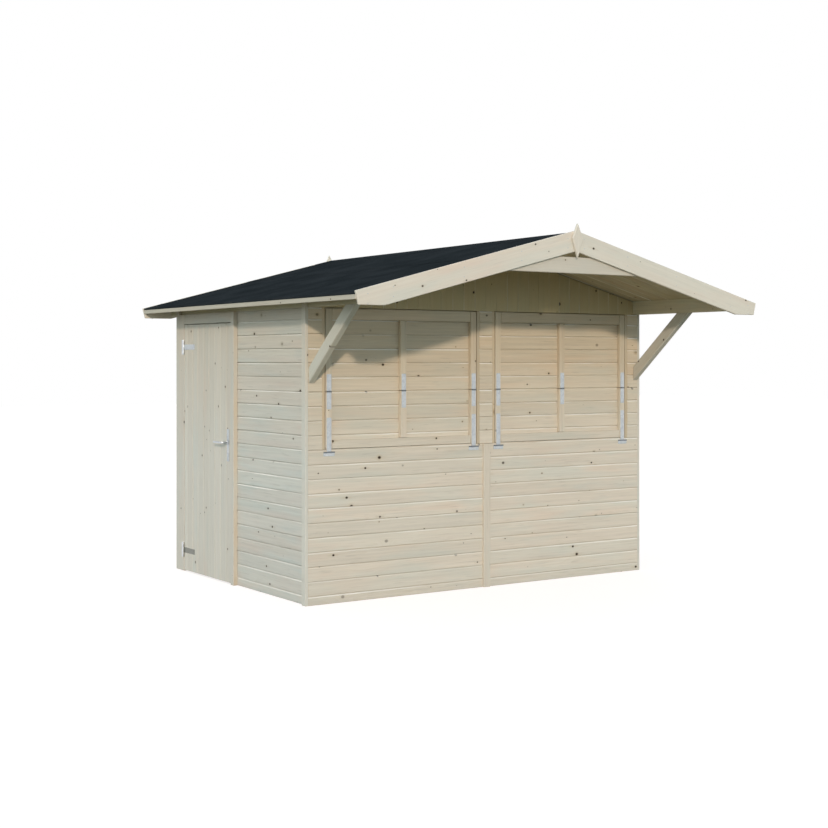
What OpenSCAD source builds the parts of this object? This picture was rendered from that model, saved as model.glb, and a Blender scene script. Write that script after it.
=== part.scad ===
// Wooden market hut: a boarded cabin with a low gabled roof that runs out over
// the counter side as a canopy. Two bi-fold hatches close the front, and a
// ledged door with a lever handle opens outwards in the left side.
// Millimetres, +Z up. The origin is at ground level in the middle of the roof's
// plan, +X runs along the front to the right and +Y from the front to the back.

/* [Walls] */
// Width over the outer faces of the side cladding
wall_w = 2894; // [2500:1:3400]
// Depth over the outer faces of the front and back cladding
wall_d = 2040; // [1700:1:2600]
// Height of the wall panels, from the ground to the eave beams
wall_h = 1962; // [1800:1:2300]
// Thickness of the cladding boards
clad_t = 18; // [14:1:24]
// Side of the square frame timbers behind the cladding
frame_t = 45; // [36:1:50]
// Gap where two panels or two timbers of one run meet
joint_gap = 2; // [1:0.5:5]

/* [Trims] */
// Width of a corner board
trim_w = 50; // [40:1:70]
// Width of the strip over the joint of two wall panels
cover_w = 58; // [40:1:80]
// How far that strip stands out of the cladding
cover_t = 16; // [10:1:24]

/* [Roof] */
// Slope of the roof in degrees
pitch = 14.6; // [12:0.1:20]
// Front overhang, from the cladding to the face of the bargeboards
front_overhang = 990; // [800:1:1200]
// Back overhang, from the cladding to the face of the bargeboards
back_overhang = 165; // [120:1:300]
// Side overhang, from the cladding to the face of the eave board
eave_overhang = 228; // [180:1:300]
// Thickness of the roof boards
deck_t = 18; // [14:1:24]
// Thickness of the roofing felt
felt_t = 3; // [2:0.5:5]
// Clearance under the roof boards and under the felt
roof_bed = 0.2; // [0.1:0.05:0.5]
// How far the felt is turned down over the eave board
felt_drop = 12; // [6:1:20]
// Width of the ridge beam, the eave beams and the canopy braces
beam_w = 45; // [36:1:60]
// Height of an eave beam at its outer face
purlin_h = 91; // [70:1:120]
// Height of the ridge beam
ridge_h = 95; // [70:1:120]
// Thickness of the eave board
fascia_t = 18; // [14:1:24]
// Height of the eave board
fascia_h = 40; // [30:1:60]

/* [Gable ends] */
// Width of a bargeboard, square to its length
barge_w = 132; // [115:1:150]
// Thickness of a bargeboard
barge_t = 20; // [15:1:28]
// How far a front bargeboard stands above the felt, square to the slope
barge_lip = 8; // [4:1:14]
// How far a back bargeboard stands above the felt, square to the slope
back_lip = 0; // [0:1:14]
// How far a bargeboard runs past the eave board
barge_run = 8; // [4:1:20]
// Height from a bargeboard's level foot to the bottom of the eave board
barge_foot = 34; // [24:1:44]
// Width of the diamond finial at the ridge
finial_w = 90; // [70:1:120]
// Thickness of the finial
finial_t = 20; // [15:1:28]
// How far the finial's tips stand past the bargeboards' edges
finial_tip = 45; // [30:1:60]
// Height from the bargeboards' ridge down to the finial's widest point
finial_shoulder = 54; // [40:1:70]
// Height of the collar board behind the front bargeboards
collar_h = 106; // [80:1:130]
// Thickness of the collar board
collar_t = 28; // [20:1:40]
// Height from the bargeboards' lower edges at the ridge to the collar's top
collar_drop = 37; // [20:1:60]

/* [Canopy braces] */
// Depth of a brace, square to its length
brace_w = 80; // [70:1:110]
// Distance from the wall to a brace's outer end
brace_reach = 595; // [450:1:700]
// Height from a brace's foot to the underside of the eave beam
brace_drop = 503; // [400:1:600]

/* [Hatches] */
// Width of the boarded pier between the two hatches
center_pier = 114; // [100:1:140]
// Width of the boarded pier from a corner to a hatch
outer_pier = 104; // [96:1:160]
// Width of the frame timber that shows beside a hatch
hatch_reveal = 28; // [20:1:34]
// Height of the cladding below the hatches
sill_z = 1020; // [900:1:1120]
// Height from the sill to the fold between the lower and upper leaf
fold_up = 384; // [350:1:480]
// Gap between the two leaves
fold_gap = 4; // [3:0.5:8]
// Gap below and above a hatch
hatch_gap = 6; // [4:0.5:10]
// Gap between a hatch and the stud beside it
stud_gap = 5; // [4:0.5:10]
// Thickness of the leaf boards
hatch_t = 16; // [12:1:20]
// Thickness of the battens on the leaves
batten_t = 28; // [20:1:34]
// Width of the upright battens
batten_w = 48; // [42:1:60]
// Width of the batten along the top of an upper leaf
top_rail_w = 72; // [50:1:90]
// Width of the batten along the bottom of a lower leaf
bottom_rail_w = 56; // [46:1:80]

/* [Hatch hinges] */
// Thickness of all hinge plates and lock plates
plate_t = 3; // [2:0.5:4]
// Width of a hatch hinge's strap
strap_w = 35; // [28:1:40]
// Length of a fold hinge, from its pin to each end
fold_strap = 116; // [80:1:130]
// Length of a tee hinge's strap, from its pin to the end
tee_strap = 229; // [180:1:250]
// Width of a tee hinge's crossbar
tee_bar_w = 86; // [70:1:120]
// Height of a tee hinge's crossbar
tee_bar_h = 26; // [20:1:44]
// Height from a tee hinge's pin up to the sill
tee_drop = 17; // [8:1:24]
// Radius of a hatch hinge's barrel
barrel_r = 5; // [4:0.5:7]

/* [Door] */
// Width of the door leaf
door_w = 804; // [700:1:900]
// Thickness of the door boards
door_t = 18; // [15:1:24]
// Clearance behind the door and along its hinge edge
swing_gap = 5; // [5:0.5:8]
// Clearance along the latch edge
latch_gap = 8; // [6:0.5:12]
// Clearance above the door
head_gap = 8; // [6:0.5:12]
// Clearance below the door
foot_gap = 10; // [6:1:20]
// Height of the board over the door
head_board_h = 74; // [50:1:100]
// Width of the board beside the hinge edge
jamb_w = 93; // [80:1:120]
// Width of the board beside the latch edge
latch_board_w = 48; // [40:1:70]
// Thickness of the board beside the latch edge
latch_board_t = 32; // [24:1:40]
// How far the cladding reaches behind the door's edges as a stop
stop_lap = 14; // [8:1:20]
// Thickness of the ledges and the brace on the back of the door
ledge_t = 25; // [18:1:30]
// Width of a ledge
ledge_w = 100; // [80:1:120]
// Clearance from the ends of the ledges to the doorway
ledge_end = 12; // [9:1:20]

/* [Door hinges] */
// Height of the lower hinge above the foot of the door
low_hinge = 153; // [120:1:220]
// Height from the upper hinge to the top of the door
high_hinge = 167; // [120:1:220]
// Length of a door hinge's strap
door_strap = 190; // [150:1:260]
// Height of a door hinge's strap
door_strap_h = 40; // [32:1:50]
// Width of a door hinge's plate on the jamb
door_plate_w = 40; // [30:1:60]
// Height of a door hinge's plate on the jamb
door_plate_h = 112; // [90:1:130]
// Radius of a door hinge's knuckles
knuckle_r = 6; // [5:0.5:7]
// Radius of a door hinge's pin
pin_r = 3; // [2:0.5:3.5]
// Running clearance round a pin or spindle and beside a knuckle
run_gap = 0.3; // [0.2:0.05:0.5]

/* [Lock] */
// Distance from the latch edge of the door to the spindle
backset = 47; // [40:1:60]
// Height of the spindle above the ground
lever_z = 1020; // [950:1:1080]
// Width of a lock plate
lock_w = 40; // [32:1:50]
// Height of a lock plate
lock_h = 233; // [180:1:260]
// Height from the spindle to the top of a lock plate
lock_up = 96; // [70:1:120]
// Length of a lever, from the spindle to its end
lever_l = 135; // [100:1:150]
// Distance from the door boards to the middle of a lever
lever_out = 52; // [40:1:65]
// Radius of a lever's neck, and half the height of its bar
lever_r = 9; // [7:0.5:10]
// Thickness of a lever's bar
lever_t = 14; // [10:1:18]
// Radius of the spindle
spindle_r = 5; // [4:0.5:6]

/* [Hidden] */
$fn = 48;

// Faces of the walls and of the frame inside them
face_x = wall_w / 2;
roof_len = front_overhang + wall_d + back_overhang;
face_f = front_overhang - roof_len / 2;
face_b = face_f + wall_d;
inner_x = face_x - clad_t;
room_x = inner_x - frame_t;
inner_f = face_f + clad_t;
inner_b = face_b - clad_t;
room_f = inner_f + frame_t;
room_b = inner_b - frame_t;
side_f = room_f + joint_gap;
side_b = room_b - joint_gap;
trim_t = swing_gap + door_t;

// Roof: heights across the slope and the ends of its layers
deck_v = deck_t / cos(pitch);
felt_v = felt_t / cos(pitch);
eave_x = face_x + eave_overhang;
deck_x = eave_x - fascia_t;
roof_f = -roof_len / 2;
roof_b = roof_len / 2;
deck_f = roof_f + barge_t;
deck_b = roof_b - barge_t;
purlin_x = face_x - beam_w;
fascia_z = deck_top(eave_x) - fascia_h;
barge_x = eave_x + barge_run;
barge_z = fascia_z - barge_foot;
barge_v = barge_w / cos(pitch);
collar_z = barge_top(0) - barge_v - collar_drop;
brace_angle = atan2(brace_drop, brace_reach);

// Hatches, measured from the middle of the front
open_in = center_pier / 2;
open_out = face_x - outer_pier;
leaf_in = open_in + hatch_reveal;
leaf_out = open_out - hatch_reveal;
leaf_mid = (leaf_in + leaf_out) / 2;
fold_z = sill_z + fold_up;
leaf_foot = sill_z + hatch_gap;
leaf_top = wall_h - hatch_gap;
fold_low = fold_z - fold_gap / 2;
fold_high = fold_z + fold_gap / 2;
stile_in = leaf_in + batten_w / 2;
stile_out = leaf_out - batten_w / 2;
tee_z = sill_z - tee_drop;

// Door, on the left side with its hinges towards the back
door_x = -face_x - trim_t;
door_back = -face_x - swing_gap;
door_b = face_b - trim_w - jamb_w - swing_gap;
door_f = door_b - door_w;
door_top = wall_h - head_board_h - head_gap;
way_f = door_f + stop_lap;
way_b = door_b - stop_lap;
way_top = door_top - stop_lap;
hinge_zs = [foot_gap + low_hinge, door_top - high_hinge];
hinge_x = door_x - knuckle_r;
hinge_y = door_b + swing_gap / 2;
hinge_tab = knuckle_r + run_gap;
spindle_y = door_f + backset;
lock_b = spindle_y + lock_w / 2;
lock_z = lever_z + lock_up - lock_h;
ledge_zs = [hinge_zs[0], lock_z + lock_h / 2, hinge_zs[1]];
ledge_f = way_f + ledge_end;
ledge_b = way_b - ledge_end;

pale = [0.83, 0.79, 0.70];
grey_pale = [0.78, 0.76, 0.70];
sawn = [0.78, 0.66, 0.50];
felt_grey = [0.20, 0.22, 0.24];
zinc = [0.72, 0.76, 0.78];

// Heights at a distance from the ridge: the bed that the beams, gables and
// corner boards give the roof, the tops of the roof boards and of the felt on
// it, and a bargeboard's upper edge
function under(x) = wall_h + purlin_h + (face_x - abs(x)) * tan(pitch);
function deck_top(x) = under(x) + roof_bed + deck_v;
function felt_top(x) = deck_top(x) + roof_bed + felt_v;
function barge_top(x, lip = barge_lip) = felt_top(x) + lip / cos(pitch);

// A block between two opposite corners
module block(low, high) {
    translate(low) cube(high - low);
}

// An outline in X and Z, carried along Y
module along_y(y0, y1) {
    translate([0, y1, 0]) rotate([90, 0, 0]) linear_extrude(y1 - y0) children();
}

// An outline in Y and Z, carried along X
module along_x(x0, x1) {
    translate([x0, 0, 0]) rotate([90, 0, 90]) linear_extrude(x1 - x0) children();
}

// A rod along X
module rod_x(x0, x1, y, z, r) {
    translate([x0, y, z]) rotate([0, 90, 0]) cylinder(r = r, h = x1 - x0);
}

// A piece on the right and its mirror image on the left
module both_sides() {
    children();
    mirror([1, 0, 0]) children();
}

// Cladding

module front_wall_lower() {
    color(pale) both_sides() block([joint_gap / 2, face_f, 0], [face_x, inner_f, sill_z]);
}

module front_wall_piers() {
    color(pale) {
        block([-open_in, face_f, sill_z], [open_in, inner_f, wall_h]);
        both_sides() block([open_out, face_f, sill_z], [face_x, inner_f, wall_h]);
    }
}

// A gable between the eave beams, notched for the ridge beam
module gable(y0, y1) {
    along_y(y0, y1) difference() {
        polygon([
            [-purlin_x, wall_h], [purlin_x, wall_h], [purlin_x, under(purlin_x)],
            [0, under(0)], [-purlin_x, under(purlin_x)]
        ]);
        translate([-beam_w / 2, under(0) - ridge_h]) square([beam_w, 2 * ridge_h]);
    }
}

module front_gable() {
    color(pale) gable(face_f, inner_f);
}

module back_wall() {
    color(pale) both_sides() block([joint_gap / 2, inner_b, 0], [face_x, face_b, wall_h]);
}

module back_gable() {
    color(pale) gable(inner_b, face_b);
}

module right_wall() {
    color(grey_pale) block([inner_x, inner_f, 0], [face_x, inner_b, wall_h]);
}

// The left side is boarded in front of the doorway, behind it and over it
module left_cladding(y0, y1, z0) {
    color(grey_pale) block([-face_x, y0, z0], [-inner_x, y1, wall_h]);
}

module left_wall() {
    left_cladding(inner_f, way_f, 0);
}

module left_wall_hinge_side() {
    left_cladding(way_b, inner_b, 0);
}

module left_wall_over_door() {
    left_cladding(way_f, way_b, way_top);
}

// Boards on the cladding

module corner_trims() {
    color(grey_pale) both_sides() for (y = [face_f, face_b - trim_w])
        along_y(y, y + trim_w) polygon([
            [face_x, 0], [face_x + trim_t, 0],
            [face_x + trim_t, under(face_x + trim_t)], [face_x, under(face_x)]
        ]);
}

module cover_strips() {
    color(pale) {
        block([-cover_w / 2, face_f - cover_t, 0], [cover_w / 2, face_f, sill_z]);
        block([-cover_w / 2, face_b, 0], [cover_w / 2, face_b + cover_t, wall_h]);
    }
}

// The boards beside and over the door: the latch board is the thicker one
module door_surround() {
    head_f = door_f - latch_gap;
    head_b = door_b + swing_gap;
    color(grey_pale) {
        block([-face_x - latch_board_t, head_f - latch_board_w, 0], [-face_x, head_f, wall_h]);
        block([door_x, head_b, 0], [-face_x, face_b - trim_w, wall_h]);
        block([door_x, head_f + joint_gap, door_top + head_gap], [-face_x, head_b - joint_gap, wall_h]);
    }
}

// Frame behind the cladding

module bottom_plates() {
    color(sawn) {
        block([-inner_x, inner_f, 0], [inner_x, room_f, frame_t]);
        block([-inner_x, room_b, 0], [inner_x, inner_b, frame_t]);
        both_sides() block([room_x, side_f, 0], [inner_x, side_b, frame_t]);
    }
}

// Studs of the front beside the hatches and at the corners, and of the back
module end_wall_studs() {
    back_step = room_x / 2;
    color(sawn) {
        both_sides() {
            for (x = [leaf_in - stud_gap - frame_t, leaf_out + stud_gap, room_x])
                block([x, inner_f, frame_t], [x + frame_t, room_f, wall_h]);
            for (x = [back_step, room_x])
                block([x, room_b, frame_t], [x + frame_t, inner_b, wall_h]);
        }
        block([-frame_t / 2, room_b, frame_t], [frame_t / 2, inner_b, wall_h]);
    }
}

// Studs of the right side, of the left side and of the doorway
module side_wall_studs() {
    stud_h = wall_h - frame_t;
    right_step = (side_b - side_f - frame_t) / 3;
    left_step = (way_f - frame_t - side_f) / 2;
    color(sawn) {
        for (i = [0 : 3]) translate([room_x, side_f + i * right_step, frame_t])
            cube([frame_t, frame_t, stud_h - frame_t]);
        for (i = [0 : 2]) translate([-inner_x, side_f + i * left_step, frame_t])
            cube([frame_t, frame_t, stud_h - frame_t]);
        block([-inner_x, way_b, frame_t], [-room_x, way_b + frame_t, stud_h]);
    }
}

module hatch_sills() {
    color(sawn) both_sides() block(
        [leaf_in - stud_gap, inner_f, sill_z - frame_t],
        [leaf_out + stud_gap, room_f, sill_z]
    );
}

module head_rails() {
    color(sawn) for (y = [inner_f, room_b])
        block([-purlin_x, y, wall_h], [purlin_x, y + frame_t, wall_h + frame_t]);
}

module top_plates() {
    color(sawn) both_sides() block([room_x, side_f, wall_h - frame_t], [inner_x, side_b, wall_h]);
}

// Roof

module ridge_beam() {
    color(sawn) along_y(deck_f, deck_b) polygon([
        [-beam_w / 2, under(0) - ridge_h], [beam_w / 2, under(0) - ridge_h],
        [beam_w / 2, under(beam_w / 2)], [0, under(0)], [-beam_w / 2, under(beam_w / 2)]
    ]);
}

module eave_purlins() {
    color(grey_pale) both_sides() along_y(deck_f, deck_b) polygon([
        [purlin_x, wall_h], [face_x, wall_h], [face_x, under(face_x)], [purlin_x, under(purlin_x)]
    ]);
}

module roof_deck_right() {
    color(sawn) along_y(deck_f, deck_b) polygon([
        [0, deck_top(0) - deck_v], [deck_x, deck_top(deck_x) - deck_v],
        [deck_x, deck_top(deck_x)], [0, deck_top(0)]
    ]);
}

module roof_deck_left() {
    mirror([1, 0, 0]) roof_deck_right();
}

// Felt on the boards, turned down over the eave board
module roof_felt_right() {
    hem_x = eave_x + felt_t;
    hem_z = deck_top(eave_x) - felt_drop;
    color(felt_grey) along_y(deck_f, deck_b) polygon([
        [0, felt_top(0) - felt_v], [eave_x, felt_top(eave_x) - felt_v], [eave_x, hem_z],
        [hem_x, hem_z], [hem_x, felt_top(hem_x)], [0, felt_top(0)]
    ]);
}

module roof_felt_left() {
    mirror([1, 0, 0]) roof_felt_right();
}

module eave_fascias() {
    color(grey_pale) both_sides() along_y(deck_f, deck_b) polygon([
        [deck_x, fascia_z], [eave_x, fascia_z],
        [eave_x, deck_top(eave_x)], [deck_x, deck_top(deck_x)]
    ]);
}

// Gable ends

// The right-hand bargeboard: plumb at the ridge, cut square at its end, and
// cut level along its foot
module bargeboard(y0, lip) {
    square_x = barge_x - (barge_top(barge_x, lip) - barge_z) * tan(pitch);
    level_x = (barge_top(0, lip) - barge_v - barge_z) / tan(pitch);
    color(pale) along_y(y0, y0 + barge_t) polygon([
        [0, barge_top(0, lip)], [barge_x, barge_top(barge_x, lip)], [square_x, barge_z],
        [level_x, barge_z], [0, barge_top(0, lip) - barge_v]
    ]);
}

module front_bargeboard_right() {
    bargeboard(roof_f, barge_lip);
}

module front_bargeboard_left() {
    mirror([1, 0, 0]) bargeboard(roof_f, barge_lip);
}

module back_bargeboard_right() {
    bargeboard(deck_b, back_lip);
}

module back_bargeboard_left() {
    mirror([1, 0, 0]) bargeboard(deck_b, back_lip);
}

// A diamond over the joint of two bargeboards that meet at the height ridge_z
module finial(y0, ridge_z) {
    color(pale) along_y(y0, y0 + finial_t) polygon([
        [0, ridge_z + finial_tip], [finial_w / 2, ridge_z - finial_shoulder],
        [0, ridge_z - barge_v - finial_tip], [-finial_w / 2, ridge_z - finial_shoulder]
    ]);
}

module finials() {
    finial(roof_f - finial_t, barge_top(0));
    finial(roof_b, barge_top(0, back_lip));
}

// The collar's ends follow the underside of the roof boards
module front_collar() {
    low_x = (under(0) - collar_z + collar_h) / tan(pitch);
    top_x = (under(0) - collar_z) / tan(pitch);
    color(pale) along_y(deck_f, deck_f + collar_t) polygon([
        [-low_x, collar_z - collar_h], [low_x, collar_z - collar_h], [top_x, collar_z], [-top_x, collar_z]
    ]);
}

// Braces from the front wall out to the eave beams
module canopy_braces() {
    foot_z = wall_h - brace_drop;
    color(grey_pale) both_sides() along_x(purlin_x, face_x) polygon([
        [face_f, foot_z], [face_f, foot_z + brace_w / cos(brace_angle)],
        [face_f - brace_reach + brace_w / sin(brace_angle), wall_h], [face_f - brace_reach, wall_h]
    ]);
}

// Hatches

// The boards of one leaf of the right-hand hatch, behind its battens
module hatch_boards(z0, z1) {
    color(pale) block([leaf_in, face_f + batten_t, z0], [leaf_out, face_f + batten_t + hatch_t, z1]);
}

module right_hatch_upper() {
    hatch_boards(fold_high, leaf_top);
}

module right_hatch_lower() {
    hatch_boards(leaf_foot, fold_low);
}

module left_hatch_upper() {
    mirror([1, 0, 0]) right_hatch_upper();
}

module left_hatch_lower() {
    mirror([1, 0, 0]) right_hatch_lower();
}

// One upright or level batten, its face flush with the cladding
module batten(x0, x1, z0, z1) {
    block([x0, face_f, z0], [x1, face_f + batten_t, z1]);
}

// Two stiles, a rail and a middle upright on each leaf
module hatch_battens() {
    rail_in = leaf_in + batten_w + joint_gap;
    rail_out = leaf_out - batten_w - joint_gap;
    mid_in = leaf_mid - batten_w / 2;
    mid_out = leaf_mid + batten_w / 2;
    bottom_z = leaf_foot + bottom_rail_w;
    top_z = leaf_top - top_rail_w;
    color(pale) both_sides() {
        for (z = [[leaf_foot, fold_low], [fold_high, leaf_top]]) {
            batten(leaf_in, leaf_in + batten_w, z[0], z[1]);
            batten(leaf_out - batten_w, leaf_out, z[0], z[1]);
        }
        batten(rail_in, rail_out, leaf_foot, bottom_z);
        batten(rail_in, rail_out, top_z, leaf_top);
        batten(mid_in, mid_out, bottom_z + joint_gap, fold_low);
        batten(mid_in, mid_out, fold_high, top_z - joint_gap);
    }
}

// Flat plate on the front, with a barrel across it at the pin's height
module front_hinge(x, pin_z, barrel_l) {
    rod_x(x - barrel_l / 2, x + barrel_l / 2, face_f - barrel_r, pin_z, barrel_r);
    children();
}

module front_plate(x, w, z0, z1) {
    block([x - w / 2, face_f - plate_t, z0], [x + w / 2, face_f, z1]);
}

module hatch_fold_hinges() {
    color(zinc) both_sides() for (x = [stile_in, leaf_mid, stile_out])
        front_hinge(x, fold_z, strap_w) front_plate(x, strap_w, fold_z - fold_strap, fold_z + fold_strap);
}

// The strap lies on the hatch and the crossbar on the cladding below it
module hatch_tee_hinges() {
    color(zinc) both_sides() for (x = [stile_in, stile_out])
        front_hinge(x, tee_z, tee_bar_w) {
            front_plate(x, strap_w, tee_z, tee_z + tee_strap);
            front_plate(x, tee_bar_w, tee_z - tee_bar_h, tee_z);
        }
}

// Door

module door_leaf() {
    color(grey_pale) difference() {
        block([door_x, door_f, foot_gap], [door_back, door_b, door_top]);
        rod_x(door_x - 1, door_back + 1, spindle_y, lever_z, lever_r);
    }
}

// Three ledges, the middle one level with the lock and clear of it, and a brace
// from the hinge side up to the latch side in each bay between them
module door_ledges() {
    brace_b = ledge_b - ledge_w;
    brace_f = lock_b + ledge_end;
    ledge_fs = [ledge_f, brace_f, ledge_f];
    color(sawn) {
        for (i = [0 : 2])
            block([door_back, ledge_fs[i], ledge_zs[i] - ledge_w / 2],
                [door_back + ledge_t, ledge_b, ledge_zs[i] + ledge_w / 2]);
        for (i = [0, 1]) along_x(door_back, door_back + ledge_t) polygon([
            [ledge_b, ledge_zs[i] + ledge_w / 2 + joint_gap],
            [brace_b, ledge_zs[i] + ledge_w / 2 + joint_gap],
            [brace_f, ledge_zs[i + 1] - ledge_w / 2 - joint_gap],
            [brace_f + ledge_w, ledge_zs[i + 1] - ledge_w / 2 - joint_gap]
        ]);
    }
}

// The strap on the door carries the middle knuckle, which turns on the pin
module door_hinge_straps() {
    color(zinc) for (z = hinge_zs) {
        low = z - door_strap_h / 2 + run_gap;
        high = z + door_strap_h / 2 - run_gap;
        difference() {
            union() {
                block([door_x - plate_t, hinge_y - door_strap, low], [door_x, hinge_y, high]);
                translate([hinge_x, hinge_y, low]) cylinder(r = knuckle_r, h = high - low);
            }
            translate([hinge_x, hinge_y, low - 1]) cylinder(r = pin_r + run_gap, h = high - low + 2);
        }
    }
}

// The plate on the jamb carries the outer knuckles and the pin
module door_hinge_plates() {
    tab_h = (door_plate_h - door_strap_h) / 2;
    color(zinc) for (z = hinge_zs) {
        low = z - door_plate_h / 2;
        block([door_x - plate_t, hinge_y + hinge_tab, low],
            [door_x, hinge_y + door_plate_w, low + door_plate_h]);
        for (tab_z = [low, low + door_plate_h - tab_h]) {
            block([door_x - plate_t, hinge_y, tab_z], [door_x, hinge_y + hinge_tab, tab_z + tab_h]);
            translate([hinge_x, hinge_y, tab_z]) cylinder(r = knuckle_r, h = tab_h);
        }
        translate([hinge_x, hinge_y, low]) cylinder(r = pin_r, h = door_plate_h);
    }
}

// One plate on each face of the door, bored for the spindle
module door_lock_plates() {
    color(zinc) for (x = [door_x - plate_t, door_back]) difference() {
        block([x, lock_b - lock_w, lock_z], [x + plate_t, lock_b, lock_z + lock_h]);
        rod_x(x - 1, x + plate_t + 1, spindle_y, lever_z, spindle_r + run_gap);
    }
}

// A lever outside and one inside on one spindle
module door_lever() {
    outer_x = door_x - plate_t - run_gap;
    inner_face = door_back + plate_t + run_gap;
    bar_out = door_x - lever_out;
    bar_in = door_back + lever_out;
    color(zinc) {
        rod_x(outer_x - 1, inner_face + 1, spindle_y, lever_z, spindle_r);
        rod_x(bar_out - lever_t / 2, outer_x, spindle_y, lever_z, lever_r);
        rod_x(inner_face, bar_in + lever_t / 2, spindle_y, lever_z, lever_r);
        for (x = [bar_out, bar_in]) {
            block([x - lever_t / 2, spindle_y, lever_z - lever_r],
                [x + lever_t / 2, spindle_y + lever_l - lever_r, lever_z + lever_r]);
            rod_x(x - lever_t / 2, x + lever_t / 2, spindle_y + lever_l - lever_r, lever_z, lever_r);
        }
    }
}

front_wall_lower();
front_wall_piers();
front_gable();
back_wall();
back_gable();
right_wall();
left_wall();
left_wall_hinge_side();
left_wall_over_door();
corner_trims();
cover_strips();
door_surround();
bottom_plates();
end_wall_studs();
side_wall_studs();
hatch_sills();
head_rails();
top_plates();
ridge_beam();
eave_purlins();
roof_deck_left();
roof_deck_right();
roof_felt_left();
roof_felt_right();
eave_fascias();
front_bargeboard_left();
front_bargeboard_right();
back_bargeboard_left();
back_bargeboard_right();
finials();
front_collar();
canopy_braces();
left_hatch_upper();
left_hatch_lower();
right_hatch_upper();
right_hatch_lower();
hatch_battens();
hatch_fold_hinges();
hatch_tee_hinges();
door_leaf();
door_ledges();
door_hinge_straps();
door_hinge_plates();
door_lock_plates();
door_lever();
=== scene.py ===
import bpy
import numpy as np
from math import pi, radians
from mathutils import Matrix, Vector


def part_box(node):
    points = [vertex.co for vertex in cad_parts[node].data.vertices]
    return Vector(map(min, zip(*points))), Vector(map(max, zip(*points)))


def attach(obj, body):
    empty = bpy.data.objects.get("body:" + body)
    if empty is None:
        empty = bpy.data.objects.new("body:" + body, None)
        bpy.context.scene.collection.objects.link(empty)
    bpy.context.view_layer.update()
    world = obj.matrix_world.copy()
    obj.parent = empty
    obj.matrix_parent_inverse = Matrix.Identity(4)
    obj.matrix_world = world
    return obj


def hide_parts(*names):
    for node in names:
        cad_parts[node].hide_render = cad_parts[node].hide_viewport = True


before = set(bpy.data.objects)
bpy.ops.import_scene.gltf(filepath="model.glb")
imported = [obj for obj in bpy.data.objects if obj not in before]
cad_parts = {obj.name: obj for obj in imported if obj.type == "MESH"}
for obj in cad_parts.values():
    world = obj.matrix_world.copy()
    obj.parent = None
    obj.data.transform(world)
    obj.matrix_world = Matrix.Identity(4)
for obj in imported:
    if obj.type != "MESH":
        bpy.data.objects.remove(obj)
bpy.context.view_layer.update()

# Ground frame, studs, sills and rails. Square sawn softwood of 45 mm, left
# untreated inside the walls, its edges lightly eased; the plates lie on the
# ground and the studs stand on them, each run cut to its own length.

chance = np.random.default_rng(118)
hair, near = 1e-6, 1e-4  # metres: as good as touching, for made points and for CAD corners


def solids(node):
    """The corners of each separate solid of a CAD node. Corners in one place
    share a number, and the lowest number spreads along the triangles until
    every solid has one of its own."""
    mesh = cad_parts[node].data
    places = np.empty(3 * len(mesh.vertices))
    mesh.vertices.foreach_get("co", places)
    corners, number = np.unique(places.reshape(-1, 3).round(5), axis=0, return_inverse=True)
    loops = np.empty(len(mesh.loops), int)
    mesh.loops.foreach_get("vertex_index", loops)
    triangles = number.reshape(-1)[loops].reshape(-1, 3)
    label = np.arange(len(corners))
    spread = None
    while spread is None or (spread != label).any():
        label = label if spread is None else spread
        spread = label.copy()
        np.minimum.at(spread, triangles, label[triangles].min(1, keepdims=True))
    return [corners[label == one] for one in np.unique(label)]


def eased(outline, inset, radius):
    """An outline moved inwards by inset, with each corner cut back by radius
    along both edges and rounded through one point: (start + 2 corner + end) / 4."""
    edge = np.roll(outline, -1, 0) - outline
    edge /= np.linalg.norm(edge, axis=1, keepdims=True)
    before = np.roll(edge, 1, 0)
    inward = edge[:, ::-1] * (-1, 1)
    inward_before = np.roll(inward, 1, 0)
    opening = 1 + (inward * inward_before).sum(1, keepdims=True)
    corner = outline + inset * (inward + inward_before) / opening
    start, end = corner - radius * before, corner + radius * edge
    return np.stack([start, (start + 2 * corner + end) / 4, end], 1).reshape(-1, 2)


def wood_marks(points, along, thick):
    """Where each point lies in its own stick of wood: metres along the grain,
    across it and through it, shifted so that the heart of the tree lies some way
    off. Then its look: the tone of the whole stick, how far the point is a pale
    arris (a painted highlight, partly worn wood) and how far a raw saw cut, both
    nothing at first."""
    middle = (points.min(0) + points.max(0)) / 2
    heart = np.array([chance.uniform(0, 40), chance.uniform(-0.04, 0.04),
                      chance.choice([-1, 1]) * chance.uniform(0.03, 0.11)])
    marks = (points - middle) @ np.stack([along, np.cross(thick, along), thick], 1) + heart
    return marks, np.tile([chance.uniform(0, 1), 0.0, 0.0], (len(points), 1))


def carry(rings):
    """A closed outline carried along a path: ring after ring of points joined by
    four-sided faces, with one face across each end."""
    stations, around = rings.shape[:2]
    at = np.arange(stations * around).reshape(stations, around)
    after = np.roll(at, -1, 1)
    sides = np.stack([at[:-1], after[:-1], after[1:], at[1:]], -1).reshape(-1, 4)
    return rings.reshape(-1, 3), sides.tolist() + [at[0, ::-1].tolist(), at[-1].tolist()]


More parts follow.
